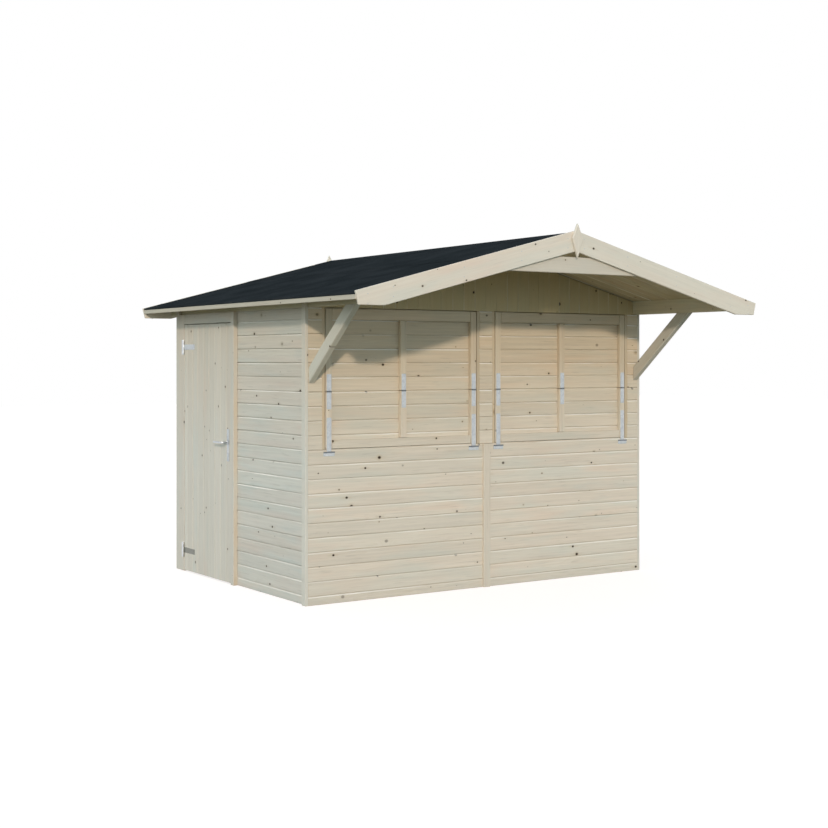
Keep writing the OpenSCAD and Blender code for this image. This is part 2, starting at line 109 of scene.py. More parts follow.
def stick(outline, low, high, axis, along=None, ease=0.0025, raw_side=None):
    """A length of timber: its outline carried along an axis, drawn in at both
    ends by the same easing as its long edges have. Ends cut across the grain are
    raw, and so is a side that faces raw_side."""
    step = np.array([0, 0.3, 1.0])
    depth = np.concatenate([low + ease * step, high - ease * step[::-1]])
    inset = ease * np.concatenate([1 - step, 1 - step[::-1]])
    second, third = (axis + 1) % 3, (axis + 2) % 3
    rings = np.empty((len(depth), 3 * len(outline), 3))
    rings[:, :, second], rings[:, :, third] = np.stack(
        [eased(outline, one, ease * (1 - 0.4 * one / ease)) for one in inset]).transpose(2, 0, 1)
    rings[:, :, axis] = depth[:, None]
    points, faces = carry(rings)
    direction = np.eye(3)[axis] if along is None else np.array(along) / np.linalg.norm(along)
    cross_cut = abs(direction[axis]) > 0.9
    thin = min(second, third, key=lambda one: np.ptp(points[:, one]))
    marks, looks = wood_marks(points, direction, np.eye(3)[thin if cross_cut else axis])
    if cross_cut:
        looks[(points[:, axis] < low + hair) | (points[:, axis] > high - hair), 2] = 1
    if raw_side is not None:
        looks[points @ raw_side > (points @ raw_side).max() - hair, 2] = 1
    return points, faces, marks, looks


def outline_of(corners, axis):
    """The end outline of a straight solid: its corners at the low end of the
    axis, in order of their angle round the middle."""
    at_end = corners[:, axis] < corners[:, axis].min() + near
    end = corners[at_end][:, [(axis + 1) % 3, (axis + 2) % 3]]
    spoke = end - end.mean(0)
    return end[np.argsort(np.arctan2(spoke[:, 1], spoke[:, 0]))]


def sticks(node, axis=None, along=None, ease=0.0025, raw_side=None):
    """Every solid of a node as a stick of timber, with the grain along its
    longest side unless a direction is given."""
    made = []
    for corners in solids(node):
        size = np.ptp(corners, axis=0)
        way = int(size.argmax()) if axis is None else axis
        low, high = corners[:, way].min(), corners[:, way].max()
        grain = along(corners) if callable(along) else along
        if axis is not None and grain is None:
            grain = np.eye(3)[size.argmax()]
        raw = raw_side(corners) if raw_side else None
        made.append(stick(outline_of(corners, way), low, high, way, grain, ease, raw))
    return made


def piece(name, parts, finish, body, nodes=(), smooth=False):
    """Parts joined into one mesh at the origin, with their wood marks and looks,
    riding on a body and standing for its CAD nodes."""
    starts = np.cumsum([0] + [len(part[0]) for part in parts]).tolist()
    faces = [[corner + start for corner in face] for start, part in zip(starts, parts) for face in part[1]]
    mesh = bpy.data.meshes.new(name)
    mesh.from_pydata(np.concatenate([part[0] for part in parts]).tolist(), [], faces)
    for place, label in ((2, "grain"), (3, "look")):
        if len(parts[0]) > place:
            values = np.concatenate([part[place] for part in parts]).ravel()
            mesh.attributes.new(label, "FLOAT_VECTOR", "POINT").data.foreach_set("vector", values)
    if smooth:
        mesh.polygons.foreach_set("use_smooth", np.ones(len(mesh.polygons), bool))
        mesh.set_sharp_from_angle(angle=radians(40))
    mesh.materials.append(finish)
    made = bpy.data.objects.new(name, mesh)
    bpy.context.scene.collection.objects.link(made)
    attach(made, body)
    if nodes:
        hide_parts(*nodes)
    return made


def colour(red, green, blue):
    """A colour given in 0 to 255 steps, as the linear one that nodes take."""
    steps = np.array([red, green, blue]) / 255
    return tuple(np.where(steps < 0.04045, steps / 12.92, ((steps + 0.055) / 1.055) ** 2.4)) + (1.0,)


def feed(tree, node, feeds):
    """A node fed by links or plain values in order of socket, or by socket name or
    number where a dictionary is given."""
    for key, source in (feeds.items() if isinstance(feeds, dict) else enumerate(feeds)):
        if isinstance(source, bpy.types.NodeSocket):
            tree.links.new(source, node.inputs[key])
        else:
            node.inputs[key].default_value = source
    return node


def put(tree, kind, feeds=(), **settings):
    """A new shader node with its settings and feeds."""
    node = tree.nodes.new(kind)
    for key, value in settings.items():
        setattr(node, key, value)
    return feed(tree, node, feeds)


def reckon(tree, operation, *feeds):
    return put(tree, "ShaderNodeMath", feeds, operation=operation).outputs[0]


def reckon_vectors(tree, operation, *feeds):
    return put(tree, "ShaderNodeVectorMath", feeds, operation=operation).outputs


def stretch(tree, vector, *scale):
    return reckon_vectors(tree, "MULTIPLY", vector, scale)[0]


def blend(tree, share, first, second, way="MIX"):
    feeds = {0: share, 6: first, 7: second}
    return put(tree, "ShaderNodeMix", feeds, data_type="RGBA", blend_type=way).outputs[2]


def remap(tree, value, low, high, to_low=0.0, to_high=1.0):
    """The span from low to high laid evenly onto to_low to to_high, and held there."""
    return put(tree, "ShaderNodeMapRange", {0: value, 1: low, 2: high, 3: to_low, 4: to_high}).outputs[0]


def ramp_down(tree, value, near_value, far_value):
    """1 where value is below near_value, falling smoothly to 0 at far_value."""
    return put(tree, "ShaderNodeMapRange", {0: value, 1: near_value, 2: far_value, 3: 1.0, 4: 0.0},
               interpolation_type="SMOOTHSTEP").outputs[0]


def noise(tree, vector, scale, detail):
    """The outputs of a noise texture: one value first, then a colour."""
    return put(tree, "ShaderNodeTexNoise", {"Vector": vector, "Scale": scale, "Detail": detail}).outputs


def relief_of(tree, height, strength, distance):
    feeds = {"Strength": strength, "Distance": distance, "Height": height}
    return put(tree, "ShaderNodeBump", feeds).outputs["Normal"]


def channels(tree, mixed):
    return put(tree, "ShaderNodeSeparateColor", (mixed,)).outputs


def object_place(tree):
    return put(tree, "ShaderNodeTexCoord").outputs["Object"]


def new_finish(name):
    """A new material, its node tree and the shader in it."""
    finish = bpy.data.materials.new(name)
    finish.use_nodes = True
    return finish, finish.node_tree, finish.node_tree.nodes["Principled BSDF"]


def group_of(name, inputs, outputs):
    """A new shader node group with its sockets, and its inner input and output nodes."""
    tree = bpy.data.node_groups.new(name, "ShaderNodeTree")
    for label, kind in inputs.items():
        tree.interface.new_socket(label, in_out="INPUT", socket_type="NodeSocket" + kind)
    for label, kind in outputs.items():
        tree.interface.new_socket(label, in_out="OUTPUT", socket_type="NodeSocket" + kind)
    return tree, tree.nodes.new("NodeGroupInput").outputs, tree.nodes.new("NodeGroupOutput").inputs


# Softwood figure: yearly rings about the heart, wavering along the stick and
# swerving round the knots, fine fibres and long streaks, patches of warmer and
# greyer wood, dark round knots with a warm rim, pale arrises painted as a
# highlight (partly worn wood) and raw saw cuts.
figure, given, result = group_of(
    "softwood_figure",
    {"Grain": "Vector", "Look": "Vector", "Early wood": "Color", "Late wood": "Color",
     "Warm patch": "Color", "Grey patch": "Color", "Raw cut": "Color", "Knot": "Color",
     "Knot size": "Float", "Streaks": "Float"},
    {"Color": "Color", "Roughness": "Float", "Height": "Float"})
in_stick = given["Grain"]
tone, arris_highlight_and_wear, raw = put(figure, "ShaderNodeSeparateXYZ", (given["Look"],)).outputs

# Knots: one in each cell of a stretched cell pattern, many small and a few large.
knot_field = stretch(figure, in_stick, 3.3, 4.2, 0.0)
cells = put(figure, "ShaderNodeTexVoronoi", {"Vector": knot_field, "Scale": 1.0},
            voronoi_dimensions="2D").outputs
luck = channels(figure, cells["Color"])
knot_share = reckon(figure, "MULTIPLY_ADD", reckon(figure, "POWER", luck[0], 1.8), 0.78, 0.22)
knot_radius = reckon(figure, "MULTIPLY", given["Knot size"], knot_share)
from_knot = reckon(figure, "DIVIDE", cells["Distance"], knot_radius)
beside = reckon_vectors(figure, "SUBTRACT", knot_field, cells["Position"])[0]
tail_way = reckon_vectors(figure, "LENGTH", stretch(figure, beside, 0.2, 1.0, 0.0))["Value"]
from_tail = reckon(figure, "DIVIDE", tail_way, knot_radius)

# Rings: the share of a year at each distance from the wavering heart.
rings_per_metre = 210.0
waver = noise(figure, stretch(figure, in_stick, 1.4, 7.0, 7.0), 1.0, 2.0)["Color"]
drift = reckon_vectors(figure, "SUBTRACT", waver, (0.5, 0.5, 0.5))[0]
section = stretch(figure, in_stick, 0.0, 1.0, 1.0)
bent = reckon_vectors(figure, "MULTIPLY_ADD", drift, (0.0, 0.034, 0.034), section)[0]
from_heart = reckon_vectors(figure, "LENGTH", bent)["Value"]
swerve = ramp_down(figure, from_knot, 0.4, 5.0)
years = reckon(figure, "MULTIPLY_ADD", swerve, 1.6, reckon(figure, "MULTIPLY", from_heart, rings_per_metre))
late = reckon(figure, "POWER", reckon(figure, "FRACT", years), 2.6)

# Fibres, streaks, flecks and patches: noise drawn out along the grain.
fibre = noise(figure, stretch(figure, in_stick, 5.0, 260.0, 260.0), 1.0, 3.0)[0]
streak = noise(figure, stretch(figure, in_stick, 1.6, 62.0, 62.0), 1.0, 3.0)[0]
fleck = remap(figure, noise(figure, stretch(figure, in_stick, 6.0, 120.0, 120.0), 1.0, 2.0)[0], 0.60, 0.74)
patches = channels(figure, noise(figure, stretch(figure, in_stick, 1.5, 9.0, 3.0), 1.0, 3.0)["Color"])
late_share = reckon(figure, "MULTIPLY_ADD", late, 0.26, reckon(figure, "MULTIPLY_ADD", fibre, 0.6, -0.18))
shade = blend(figure, late_share, given["Early wood"], given["Late wood"])
for patch, hint, patch_name in ((patches[0], 7.3, "Warm patch"), (patches[1], 4.9, "Grey patch")):
    in_patch = remap(figure, patch, 0.47, 0.68, 0.0, 0.8)
    own_hint = reckon(figure, "FRACT", reckon(figure, "MULTIPLY", tone, hint))
    whole_stick = reckon(figure, "MULTIPLY", own_hint, 0.45)
    shade = blend(figure, reckon(figure, "MAXIMUM", in_patch, whole_stick), shade, given[patch_name])
lines = reckon(figure, "MULTIPLY_ADD", reckon(figure, "SUBTRACT", streak, 0.5), 0.28,
               reckon(figure, "MULTIPLY", fleck, -0.13))
stick_level = reckon(figure, "MULTIPLY_ADD", tone, 0.08, 0.99)
brightness = reckon(figure, "MULTIPLY_ADD", lines, given["Streaks"], stick_level)
grey_level = put(figure, "ShaderNodeCombineColor", (brightness, brightness, brightness)).outputs[0]
shade = blend(figure, 1.0, shade, grey_level, "MULTIPLY")

# Knot colours, pale arrises (a painted highlight, partly worn wood) and saw cuts lie over the grain.
rim_share, tail_share = reckon(figure, "MULTIPLY", luck[1], 0.75), reckon(figure, "MULTIPLY", luck[2], 0.55)
rim = reckon(figure, "MULTIPLY", ramp_down(figure, from_knot, 0.9, 2.3), rim_share)
tail = reckon(figure, "MULTIPLY", ramp_down(figure, from_tail, 0.4, 1.2), tail_share)
shade = blend(figure, reckon(figure, "MAXIMUM", rim, tail), shade, given["Late wood"])
core_share = remap(figure, luck[2], 0.1, 0.4, 0.35, 1.0)
core = reckon(figure, "MULTIPLY", ramp_down(figure, from_knot, 0.5, 1.15), core_share)
shade = blend(figure, core, shade, given["Knot"])
patchy = remap(figure, patches[2], 0.40, 0.60, 0.1, 0.95)
# Painted highlight, partly worn wood: the wide upper chamfer is blended towards a pale colour where it
# catches the light.
shade = blend(figure, reckon(figure, "MULTIPLY", arris_highlight_and_wear, patchy), shade, colour(238, 234, 225))
shade = blend(figure, reckon(figure, "MULTIPLY", raw, patchy), shade, given["Raw cut"])
late_rough = reckon(figure, "MULTIPLY_ADD", late, -0.08, 0.70)
fibre_height = reckon(figure, "MULTIPLY_ADD", core, 0.8, fibre)
figure.links.new(shade, result["Color"])
figure.links.new(reckon(figure, "MULTIPLY_ADD", fibre, 0.18, late_rough), result["Roughness"])
figure.links.new(reckon(figure, "MULTIPLY_ADD", late, 0.35, fibre_height), result["Height"])


def wood(name, shades, shade_and_shelter=None, raw_cut=(206, 181, 148), knot_size=0.052, streaks=1.0, relief=0.0006):
    """A wood finish: the softwood figure on the grain marks, in four shades for the
    early wood, late wood, warm patches and grey patches. Where shade-and-shelter
    shades are given, they take over from counter height up to the canopy: partly
    wood kept from the weather, partly painted shade under the canopy and eaves."""
    counter_height, canopy_height = 0.9, 1.75
    finish, tree, shader = new_finish(name)
    look = put(tree, "ShaderNodeGroup", {
        "Grain": put(tree, "ShaderNodeAttribute", attribute_name="grain").outputs["Vector"],
        "Look": put(tree, "ShaderNodeAttribute", attribute_name="look").outputs["Vector"],
        "Raw cut": colour(*raw_cut),
        "Knot": colour(58, 45, 34),
        "Knot size": knot_size,
        "Streaks": streaks}, node_tree=figure)
    height = put(tree, "ShaderNodeSeparateXYZ", (object_place(tree),)).outputs[2]
    # Painted shade, partly real shelter: the upper tones take over between counter and canopy height.
    shade_and_shelter_share = remap(tree, height, counter_height, canopy_height)
    for place, socket in enumerate(("Early wood", "Late wood", "Warm patch", "Grey patch")):
        mixed = colour(*shades[place])
        if shade_and_shelter:
            mixed = blend(tree, shade_and_shelter_share, mixed, colour(*shade_and_shelter[place]))
        feed(tree, look, {socket: mixed})
    feed(tree, shader, {"Base Color": look.outputs["Color"], "Roughness": look.outputs["Roughness"],
                        "Normal": relief_of(tree, look.outputs["Height"], 0.6, relief),
                        "Specular IOR Level": 0.25})
    return finish


sawn_pine = wood("sawn_pine", ((202, 186, 158), (180, 157, 124), (200, 176, 144), (192, 180, 158)),
                 relief=0.001)
for node, name in (("bottom_plates", "ground_plates"), ("end_wall_studs", "end_studs"),
                   ("side_wall_studs", "side_studs"), ("hatch_sills", "serving_sills"),
                   ("head_rails", "gable_rails"), ("top_plates", "wall_plates")):
    piece(name, sticks(node), sawn_pine, "hut", [node])

# Wall cladding. Tongued boards of 96 mm cover with chamfered joints, pale planed
# softwood that has greyed a little, nailed level across the studs from a narrow
# board at the ground upwards; front and back are made as two panels each.

first_joint, cover, sliver = 0.060, 0.096, 0.014
board_thick, board_chamfer, board_tongue = 0.018, 0.0068, 0.002


def courses(low, high, first=first_joint):
    """The places where boards meet between low and high, slivers left out."""
    joints = first + cover * np.arange(-40, 60)
    return np.concatenate([[low], joints[(joints > low + sliver) & (joints < high - sliver)], [high]])


def board(low, high, thickness, along, across, origin, start, end, face_points=2, chamfer=board_chamfer,
          tongue=board_tongue):
    """A tongued board: an outline with a wide chamfer on its upper face edge, a small
    one below, a narrow shadow gap and a tongue, carried from start to end while
    it bows by fractions of a millimetre. start and end give the cut for each
    point of the outline. The wide chamfer is marked as a pale arris, a painted
    highlight where it catches the light and partly paler worn wood; the cut ends are raw."""
    gap, small = chance.uniform(0.28, 0.62) * chamfer, chamfer * 0.4
    chamfer_foot, arris_width, tip_length = high - gap - chamfer, 0.0015, 0.002
    face = np.linspace(chamfer_foot - arris_width, low + small, face_points)
    back = np.linspace(low, high + tongue, face_points)
    up = np.concatenate([back, [high + tongue, high - gap, high - gap, chamfer_foot], face, [low]])
    out = np.concatenate([np.full(face_points, -thickness), [-thickness / 2, -thickness / 2, -chamfer * 0.7],
                          np.zeros(face_points + 1), [-small]])
    normal = np.cross(along, across)
    first, last = start(up, out), end(up, out)
    tip = tip_length / np.ptp([first, last])
    share = np.concatenate([[0, tip], np.linspace(0.16, 0.84, 5), [1 - tip, 1]])[:, None]
    turns, shift = chance.uniform(0.4, 1.8, 2), chance.uniform(0, 2 * pi, 2)
    bow_up = 0.0005 * (1 + np.sin(turns[0] * 4 * share + shift[0]))
    bow_out = 0.0004 * (np.sin(turns[1] * 4 * share + shift[1]) - 1)
    rings = (np.array(origin) + (first + (last - first) * share)[..., None] * along
             + (up + bow_up)[..., None] * across + (out + bow_out)[..., None] * normal)
    points, faces = carry(rings)
    marks, looks = wood_marks(points, np.array(along), normal)
    looks = looks.reshape(len(share), len(up), 3)
    # The wide chamfer's mark: a painted highlight where it catches the light, partly worn wood.
    looks[:, face_points + 2:face_points + 4, 1] = chance.uniform(0.5, 1)
    looks[[0, -1], :, 2] = 1
    return points, faces, marks, looks.reshape(-1, 3)


def square_cut(value):
    """A square cut, the same for every point of a board's outline."""
    return lambda up, out: np.full_like(up, value)


X, Y, Z = np.eye(3)
outward = {"front": (X, Z), "back": (-X, Z), "left": (-Y, Z), "right": (Y, Z)}


def wall(side, node, thickness=board_thick, tongue=board_tongue):
    """The boards of each panel of a node, from its foot to its top."""
    along, across = outward[side]
    normal = np.cross(along, across)
    made = []
    for corners in solids(node):
        face = (corners @ normal).max()
        ends = corners @ along
        start, end = square_cut(ends.min()), square_cut(ends.max())
        joints = courses(corners[:, 2].min(), corners[:, 2].max())
        made += [board(low, high, thickness, along, across, face * normal, start, end, tongue=tongue)
                 for low, high in zip(joints[:-1], joints[1:])]
    return made


# Painted shade, partly real shelter: both finishes turn darker and warmer from counter height up to the
# canopy.
sunned_boards = wood("sunned_boards", ((217, 209, 195), (197, 184, 160), (215, 198, 180), (204, 201, 188)),
                     shade_and_shelter=((208, 193, 169), (186, 165, 132), (204, 183, 153), (193, 183, 161)))
shaded_boards = wood("shaded_boards", ((207, 204, 194), (187, 181, 166), (206, 194, 182), (194, 198, 191)),
                     shade_and_shelter=((202, 195, 180), (182, 172, 152), (200, 185, 168), (189, 188, 177)))
for name, side, node, finish in (
        ("front_boards", "front", "front_wall_lower", sunned_boards),
        ("pier_boards", "front", "front_wall_piers", sunned_boards),
        ("back_boards", "back", "back_wall", shaded_boards),
        ("right_boards", "right", "right_wall", shaded_boards),
        ("left_boards", "left", "left_wall", shaded_boards),
        ("hinge_side_boards", "left", "left_wall_hinge_side", shaded_boards),
        ("boards_over_door", "left", "left_wall_over_door", shaded_boards)):
    piece(name, wall(side, node), finish, "hut", [node])

# Gables. The same boards set upright above the wall panels, closely joined, cut to
# the slope a finger's breadth under the roof boards and below the ridge beam.

deck = solids("roof_deck_right")[0]
at_ridge, at_eave = deck[deck[:, 0] < near], deck[deck[:, 0] > near]
ridge_under, deck_end = at_ridge[:, 2].min(), at_eave[:, 0].max()
slope = (ridge_under - at_eave[:, 2].min()) / deck_end
pitch = np.arctan(slope)
ridge_low, ridge_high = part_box("ridge_beam")
purlin_in = min(abs(corners[:, 0]).min() for corners in solids("eave_purlins"))
under_deck, under_beam, cut_points, tone_range = 0.006, 0.001, 16, 0.25


def gable(side, node):
    """Upright boards from the wall's top to the slope, whose height is the ridge's
    less the slope times the distance from the middle. The two boards at the middle
    have more points across, for the notch round the ridge beam, and the tone of
    each is narrowed for an even look."""
    normal = np.cross(*outward[side])
    face = (solids(node)[0] @ normal).max()
    foot = square_cut(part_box(node)[0].z)

    def cut(up, out):
        under_roof = ridge_under - np.abs(up) * slope - under_deck
        return np.where(np.abs(up) < ridge_high.x, ridge_low.z - under_beam, under_roof)

    joints = courses(-purlin_in, purlin_in, first=0.0)
    made = [board(low, high, board_thick, Z, np.cross(normal, Z), face * normal, foot, cut,
                  cut_points if min(abs(low), abs(high)) < 0.01 else 2, chamfer=0.0014)
            for low, high in zip(joints[:-1], joints[1:])]
    for part in made:
        part[3][:, 0] *= tone_range
    return made


# Painted shade: the front gable, which lies in the canopy's shade, gets darker, olive boards; the back gable
# keeps the wall finish.
shaded_gable_wood = wood("shaded_gable_wood", ((196, 181, 143), (184, 166, 127), (193, 176, 136), (190, 178, 141)),
                  streaks=0.4)
piece("front_gable_boards", gable("front", "front_gable"), shaded_gable_wood, "hut", ["front_gable"])
piece("back_gable_boards", gable("back", "back_gable"), shaded_boards, "hut", ["back_gable"])

# Trims. Planed boards over the corners, the panel joints and round the doorway,
# with softened edges, nailed over the ends of the cladding boards; the board on the
# latch side stands proud and shows a raw saw cut towards the front.

# Painted shade, partly real shelter: the upper tones darken the trims up under the eaves.
planed_trim = wood("planed_trim", ((211, 206, 195), (194, 186, 170), (209, 198, 185), (200, 201, 192)),
                   shade_and_shelter=((204, 196, 181), (187, 176, 156), (202, 188, 171), (193, 190, 178)),
                   raw_cut=(201, 188, 167), knot_size=0.038, streaks=0.6)
piece("corner_boards", sticks("corner_trims", axis=1, along=Z, ease=0.0015), planed_trim, "hut",
      ["corner_trims"])
strips = sorted(sticks("cover_strips", ease=0.002), key=lambda strip: strip[0][0, 1])
piece("front_joint_strip", strips[:1], sunned_boards, "hut", ["cover_strips"])
piece("back_joint_strip", strips[1:], shaded_boards, "hut")
latch_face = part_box("door_surround")[0].x


def latch_edge(corners):
    """The raw side of a doorway board: the front edge of the one that stands proud,
    none on the others."""
    return -Y if corners[:, 0].min() < latch_face + 0.001 else None


piece("doorway_boards", sticks("door_surround", ease=0.002, raw_side=latch_edge), planed_trim, "hut",
      ["door_surround"])

# Roof timbers. A ridge beam and two eave beams run the whole length and out over
# the front, and two canopy braces carry the eave beams off the front wall.


def brace_grain(corners):
    """The grain follows a brace from its foot on the wall to its outer end."""
    foot, tip = corners[corners[:, 2].argmin()], corners[corners[:, 1].argmin()]
    return (tip - foot) * (0, 1, 1)


beam_wood = wood("beam_wood", ((209, 202, 174), (194, 183, 152), (207, 194, 167), (199, 197, 175)),
                 knot_size=0.038)
# Partly painted shade: the brace finish is darkened for the shade on the braces' sides.
shade_dulled_trim = wood("shade_dulled_trim", ((201, 197, 182), (186, 177, 158), (199, 187, 170), (191, 190, 178)),
                   knot_size=0.038)
piece("ridge_timber", sticks("ridge_beam", axis=1), sawn_pine, "hut", ["ridge_beam"])
piece("eave_timbers", sticks("eave_purlins", axis=1), beam_wood, "hut", ["eave_purlins"])
piece("brace_timbers", sticks("canopy_braces", axis=0, along=brace_grain, ease=0.004), shade_dulled_trim, "hut",
      ["canopy_braces"])

# Roof boards. Tongued boards laid down the slope from the ridge to the eaves,
# their chamfered joints showing underneath; a planed board closes each eave.

roof_boards = wood("roof_boards", ((187, 176, 142), (167, 147, 111), (184, 163, 130), (178, 172, 144)))
deck_thick = np.ptp(at_ridge[:, 2]) * np.cos(pitch)


def roof_slope(side, node):
    """Boards from the ridge down: a plumb cut at the ridge, where the distance down
    the slope is depth times the slope, and another at the eave."""
    low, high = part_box(node)
    along = np.array([side * np.cos(pitch), 0, -np.sin(pitch)])
    across = -side * Y
    origin = (0, 0, ridge_under)
    joints = courses(*sorted((low.y * -side, high.y * -side)), first=-1.5)
    return [board(foot, top, deck_thick, along, across, origin, lambda up, out: out * slope,
                  lambda up, out: (deck_end + out * np.sin(pitch)) / np.cos(pitch))
            for foot, top in zip(joints[:-1], joints[1:])]


# Painted shade: the eave boards get a darker finish for the shade they lie in.
shaded_eave_wood = wood("shaded_eave_wood", ((191, 186, 169), (177, 167, 147), (189, 176, 158), (181, 179, 165)),
                 knot_size=0.038)
piece("deck_boards_left", roof_slope(-1, "roof_deck_left"), roof_boards, "hut", ["roof_deck_left"])
piece("deck_boards_right", roof_slope(1, "roof_deck_right"), roof_boards, "hut", ["roof_deck_right"])
piece("eave_boards", sticks("eave_fascias", axis=1), shaded_eave_wood, "hut", ["eave_fascias"])

# Roofing felt. Two courses of mineral felt a metre wide run along each slope, the
# upper lapped over the lower, the lower turned down over the eave board, and a
# capping strip lies over the ridge; flat nails dabbed with bitumen hold the laps.

felt_thick, felt_air, roll, lap, climb, capping = 0.0014, 0.0002, 1.0, 0.08, 0.03, 0.16
felt_corners = solids("roof_felt_right")[0]
felt_low, felt_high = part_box("roof_felt_right")
felt_ridge = felt_corners[felt_corners[:, 0] < near][:, 2].min() - near
eave_face = felt_corners[felt_corners[:, 2] < felt_low.z + near][:, 0].min()
slope_run = eave_face / np.cos(pitch)


def felt_strip(side, start, end, lift, hem=False, ripple=0.0007):
    """A strip of felt: a line down the slope from start to end, a rounded turn down
    at the eave where it is hemmed, thickened outwards, and carried along the roof
    while it ripples by a few sine waves. lift gives its height at each distance."""
    run = np.linspace(start, end, 25)
    line = np.stack([run * np.cos(pitch), felt_ridge - run * np.sin(pitch)], 1)
    height = lift(run)
    if hem:
        drop = np.array([0.0005, 0.003, 0.007, 0.0112])
        turn_down = line[-1] + np.stack([0 * drop + 0.0003, -drop], 1)
        line = np.concatenate([line[:-1], line[-1:] + (0.0002, 0), turn_down])
        height = np.concatenate([height, 0 * drop])
    way = np.gradient(line, axis=0)
    way /= np.linalg.norm(way, axis=1, keepdims=True)
    outwards = np.stack([-way[:, 1], way[:, 0]], 1)
    along = np.linspace(felt_low.y, felt_high.y, 65)
    waves = chance.uniform((0.5, -3, 0), (5, 3, 2 * pi), (5, 3))
    far = np.cumsum(np.concatenate([[0], np.linalg.norm(np.diff(line, axis=0), axis=1)])) + start
    rise = sum(np.sin(wave[0] * along[:, None] + wave[1] * far + wave[2]) for wave in waves) * ripple / 5
    rise = (rise + ripple) * np.where(far < slope_run - 0.01, 1, 0)
    outer = line + outwards * (height + rise + felt_thick)[..., None]
    inner = line + outwards * (height + rise)[..., None]
    ring = np.concatenate([outer, inner[:, ::-1]], 1)
    stations = np.broadcast_to(along[:, None], ring.shape[:2])
    rings = np.stack([side * ring[..., 0], stations, ring[..., 1]], -1)
    return carry(rings[:, ::-1] if side < 0 else rings)


def flat(run):
    return np.zeros_like(run)


def over_lap(run):
    """The upper course lies on the boards and climbs onto the lower one at the lap."""
    return (felt_thick + felt_air) * np.clip((run - (slope_run - roll - climb)) / climb, 0, 1)


def over_ridge(run):
    """The capping lies on the upper course all over."""
    return felt_thick + felt_air + 0 * run


felt, tree, shader = new_finish("mineral_felt")
place = object_place(tree)
grit = noise(tree, place, 420.0, 2.0)[0]
cloud = noise(tree, stretch(tree, place, 1.6, 1.1, 1.6), 2.4, 5.0)[0]
wash = noise(tree, stretch(tree, place, 0.7, 11.0, 0.7), 1.0, 3.0)[0]
slate = blend(tree, remap(tree, cloud, 0.35, 0.68), colour(31, 35, 37), colour(45, 48, 50))
slate = blend(tree, remap(tree, wash, 0.48, 0.8, 0.0, 0.3), slate, colour(56, 61, 64))
slate = blend(tree, remap(tree, grit, 0.42, 0.7, 0.0, 0.5), slate, colour(64, 69, 72))
feed(tree, shader, {"Base Color": slate, "Roughness": reckon(tree, "MULTIPLY_ADD", grit, 0.2, 0.78),
                    "Normal": relief_of(tree, grit, 0.7, 0.0012), "Specular IOR Level": 0.0})
for side, name in ((-1, "left"), (1, "right")):
    courses_of_felt = [felt_strip(side, slope_run - roll, slope_run, flat, hem=True),
                       felt_strip(side, 0.0, slope_run - roll + lap, over_lap),
                       felt_strip(side, 0.0, capping, over_ridge, ripple=0.0004)]
    piece("felt_" + name, courses_of_felt, felt, "hut", ["roof_felt_" + name], smooth=True)


def heads(places, normal, radius, rise=0.3):
    """Nail or screw heads: rings of eight points from the rim over a low dome to a
    four-pointed recess, on every place at once."""
    normal = np.array(normal, float) / np.linalg.norm(normal)
    aside = np.cross(normal, Z if abs(normal[2]) < 0.9 else X)
    aside /= np.linalg.norm(aside)
    ahead = np.cross(normal, aside)
    turn = np.arange(8) * pi / 4
    star = np.where(np.arange(8) % 2, 0.16, 0.42)
    reach = np.stack([np.full(8, 1.0), np.full(8, 0.97), np.full(8, 0.66), star, star * 0.7]) * radius
    lift = np.array([-0.3, rise * 0.45, rise, rise, rise - 0.35]) * radius
    ring = ((reach * np.cos(turn))[..., None] * aside + (reach * np.sin(turn))[..., None] * ahead
            + lift[:, None, None] * normal)
    return [carry(ring + place) for place in np.atleast_2d(places)]


nail_radius, nail_spacing, nail_margin = 0.005, 0.15, 0.04
nail_rows = ((slope_run - roll + lap - 0.02, 0.0038), (capping - 0.015, 0.0036), (slope_run - 0.025, 0.0022))
felt_nails = []
for side in (-1, 1):
    up = np.array([side * np.sin(pitch), 0, np.cos(pitch)])
    for down, height in nail_rows:
        stations = np.arange(felt_low.y + nail_margin, felt_high.y, nail_spacing)
        row = np.stack([0 * stations + side * down * np.cos(pitch), stations,
                        0 * stations + felt_ridge - down * np.sin(pitch)], 1)
        felt_nails += heads(row + up * height, up, nail_radius, 0.15)
piece("felt_nails", felt_nails, felt, "hut")

# Gable ends. Bargeboards cut plumb at the ridge, square at the eave and level
# along the foot, screwed to the ends of the beams; a diamond finial covers each
# ridge joint and a collar board closes the front apex behind them.

weathered_barge = wood(
    "weathered_barge", ((216, 210, 196), (201, 190, 170), (216, 198, 181), (206, 203, 190)),
    knot_size=0.040, streaks=0.55)
for place_name in ("front", "back"):
    for side, side_name in ((-1, "left"), (1, "right")):
        node = place_name + "_bargeboard_" + side_name
        down_slope = np.array([side * np.cos(pitch), 0, -np.sin(pitch)])
        piece("barge_" + place_name + "_" + side_name, sticks(node, axis=1, along=down_slope, ease=0.003),
              weathered_barge, "hut", [node])
piece("diamond_finials", sticks("finials", axis=1, along=Z, ease=0.004), weathered_barge, "hut",
      ["finials"])
piece("apex_collar", sticks("front_collar", axis=1, along=X, ease=0.003), planed_trim, "hut",
      ["front_collar"])

# Steel. Rolled plate dipped in zinc, pale blue-grey with a faint flower pattern,
# duller in patches and by splashes near the ground, bright on the jamb plates of
# the door; used for screws and all hinge plates. Rolled knuckles are a dark steel
# that paints the shadow line along each knuckle (painted shade).

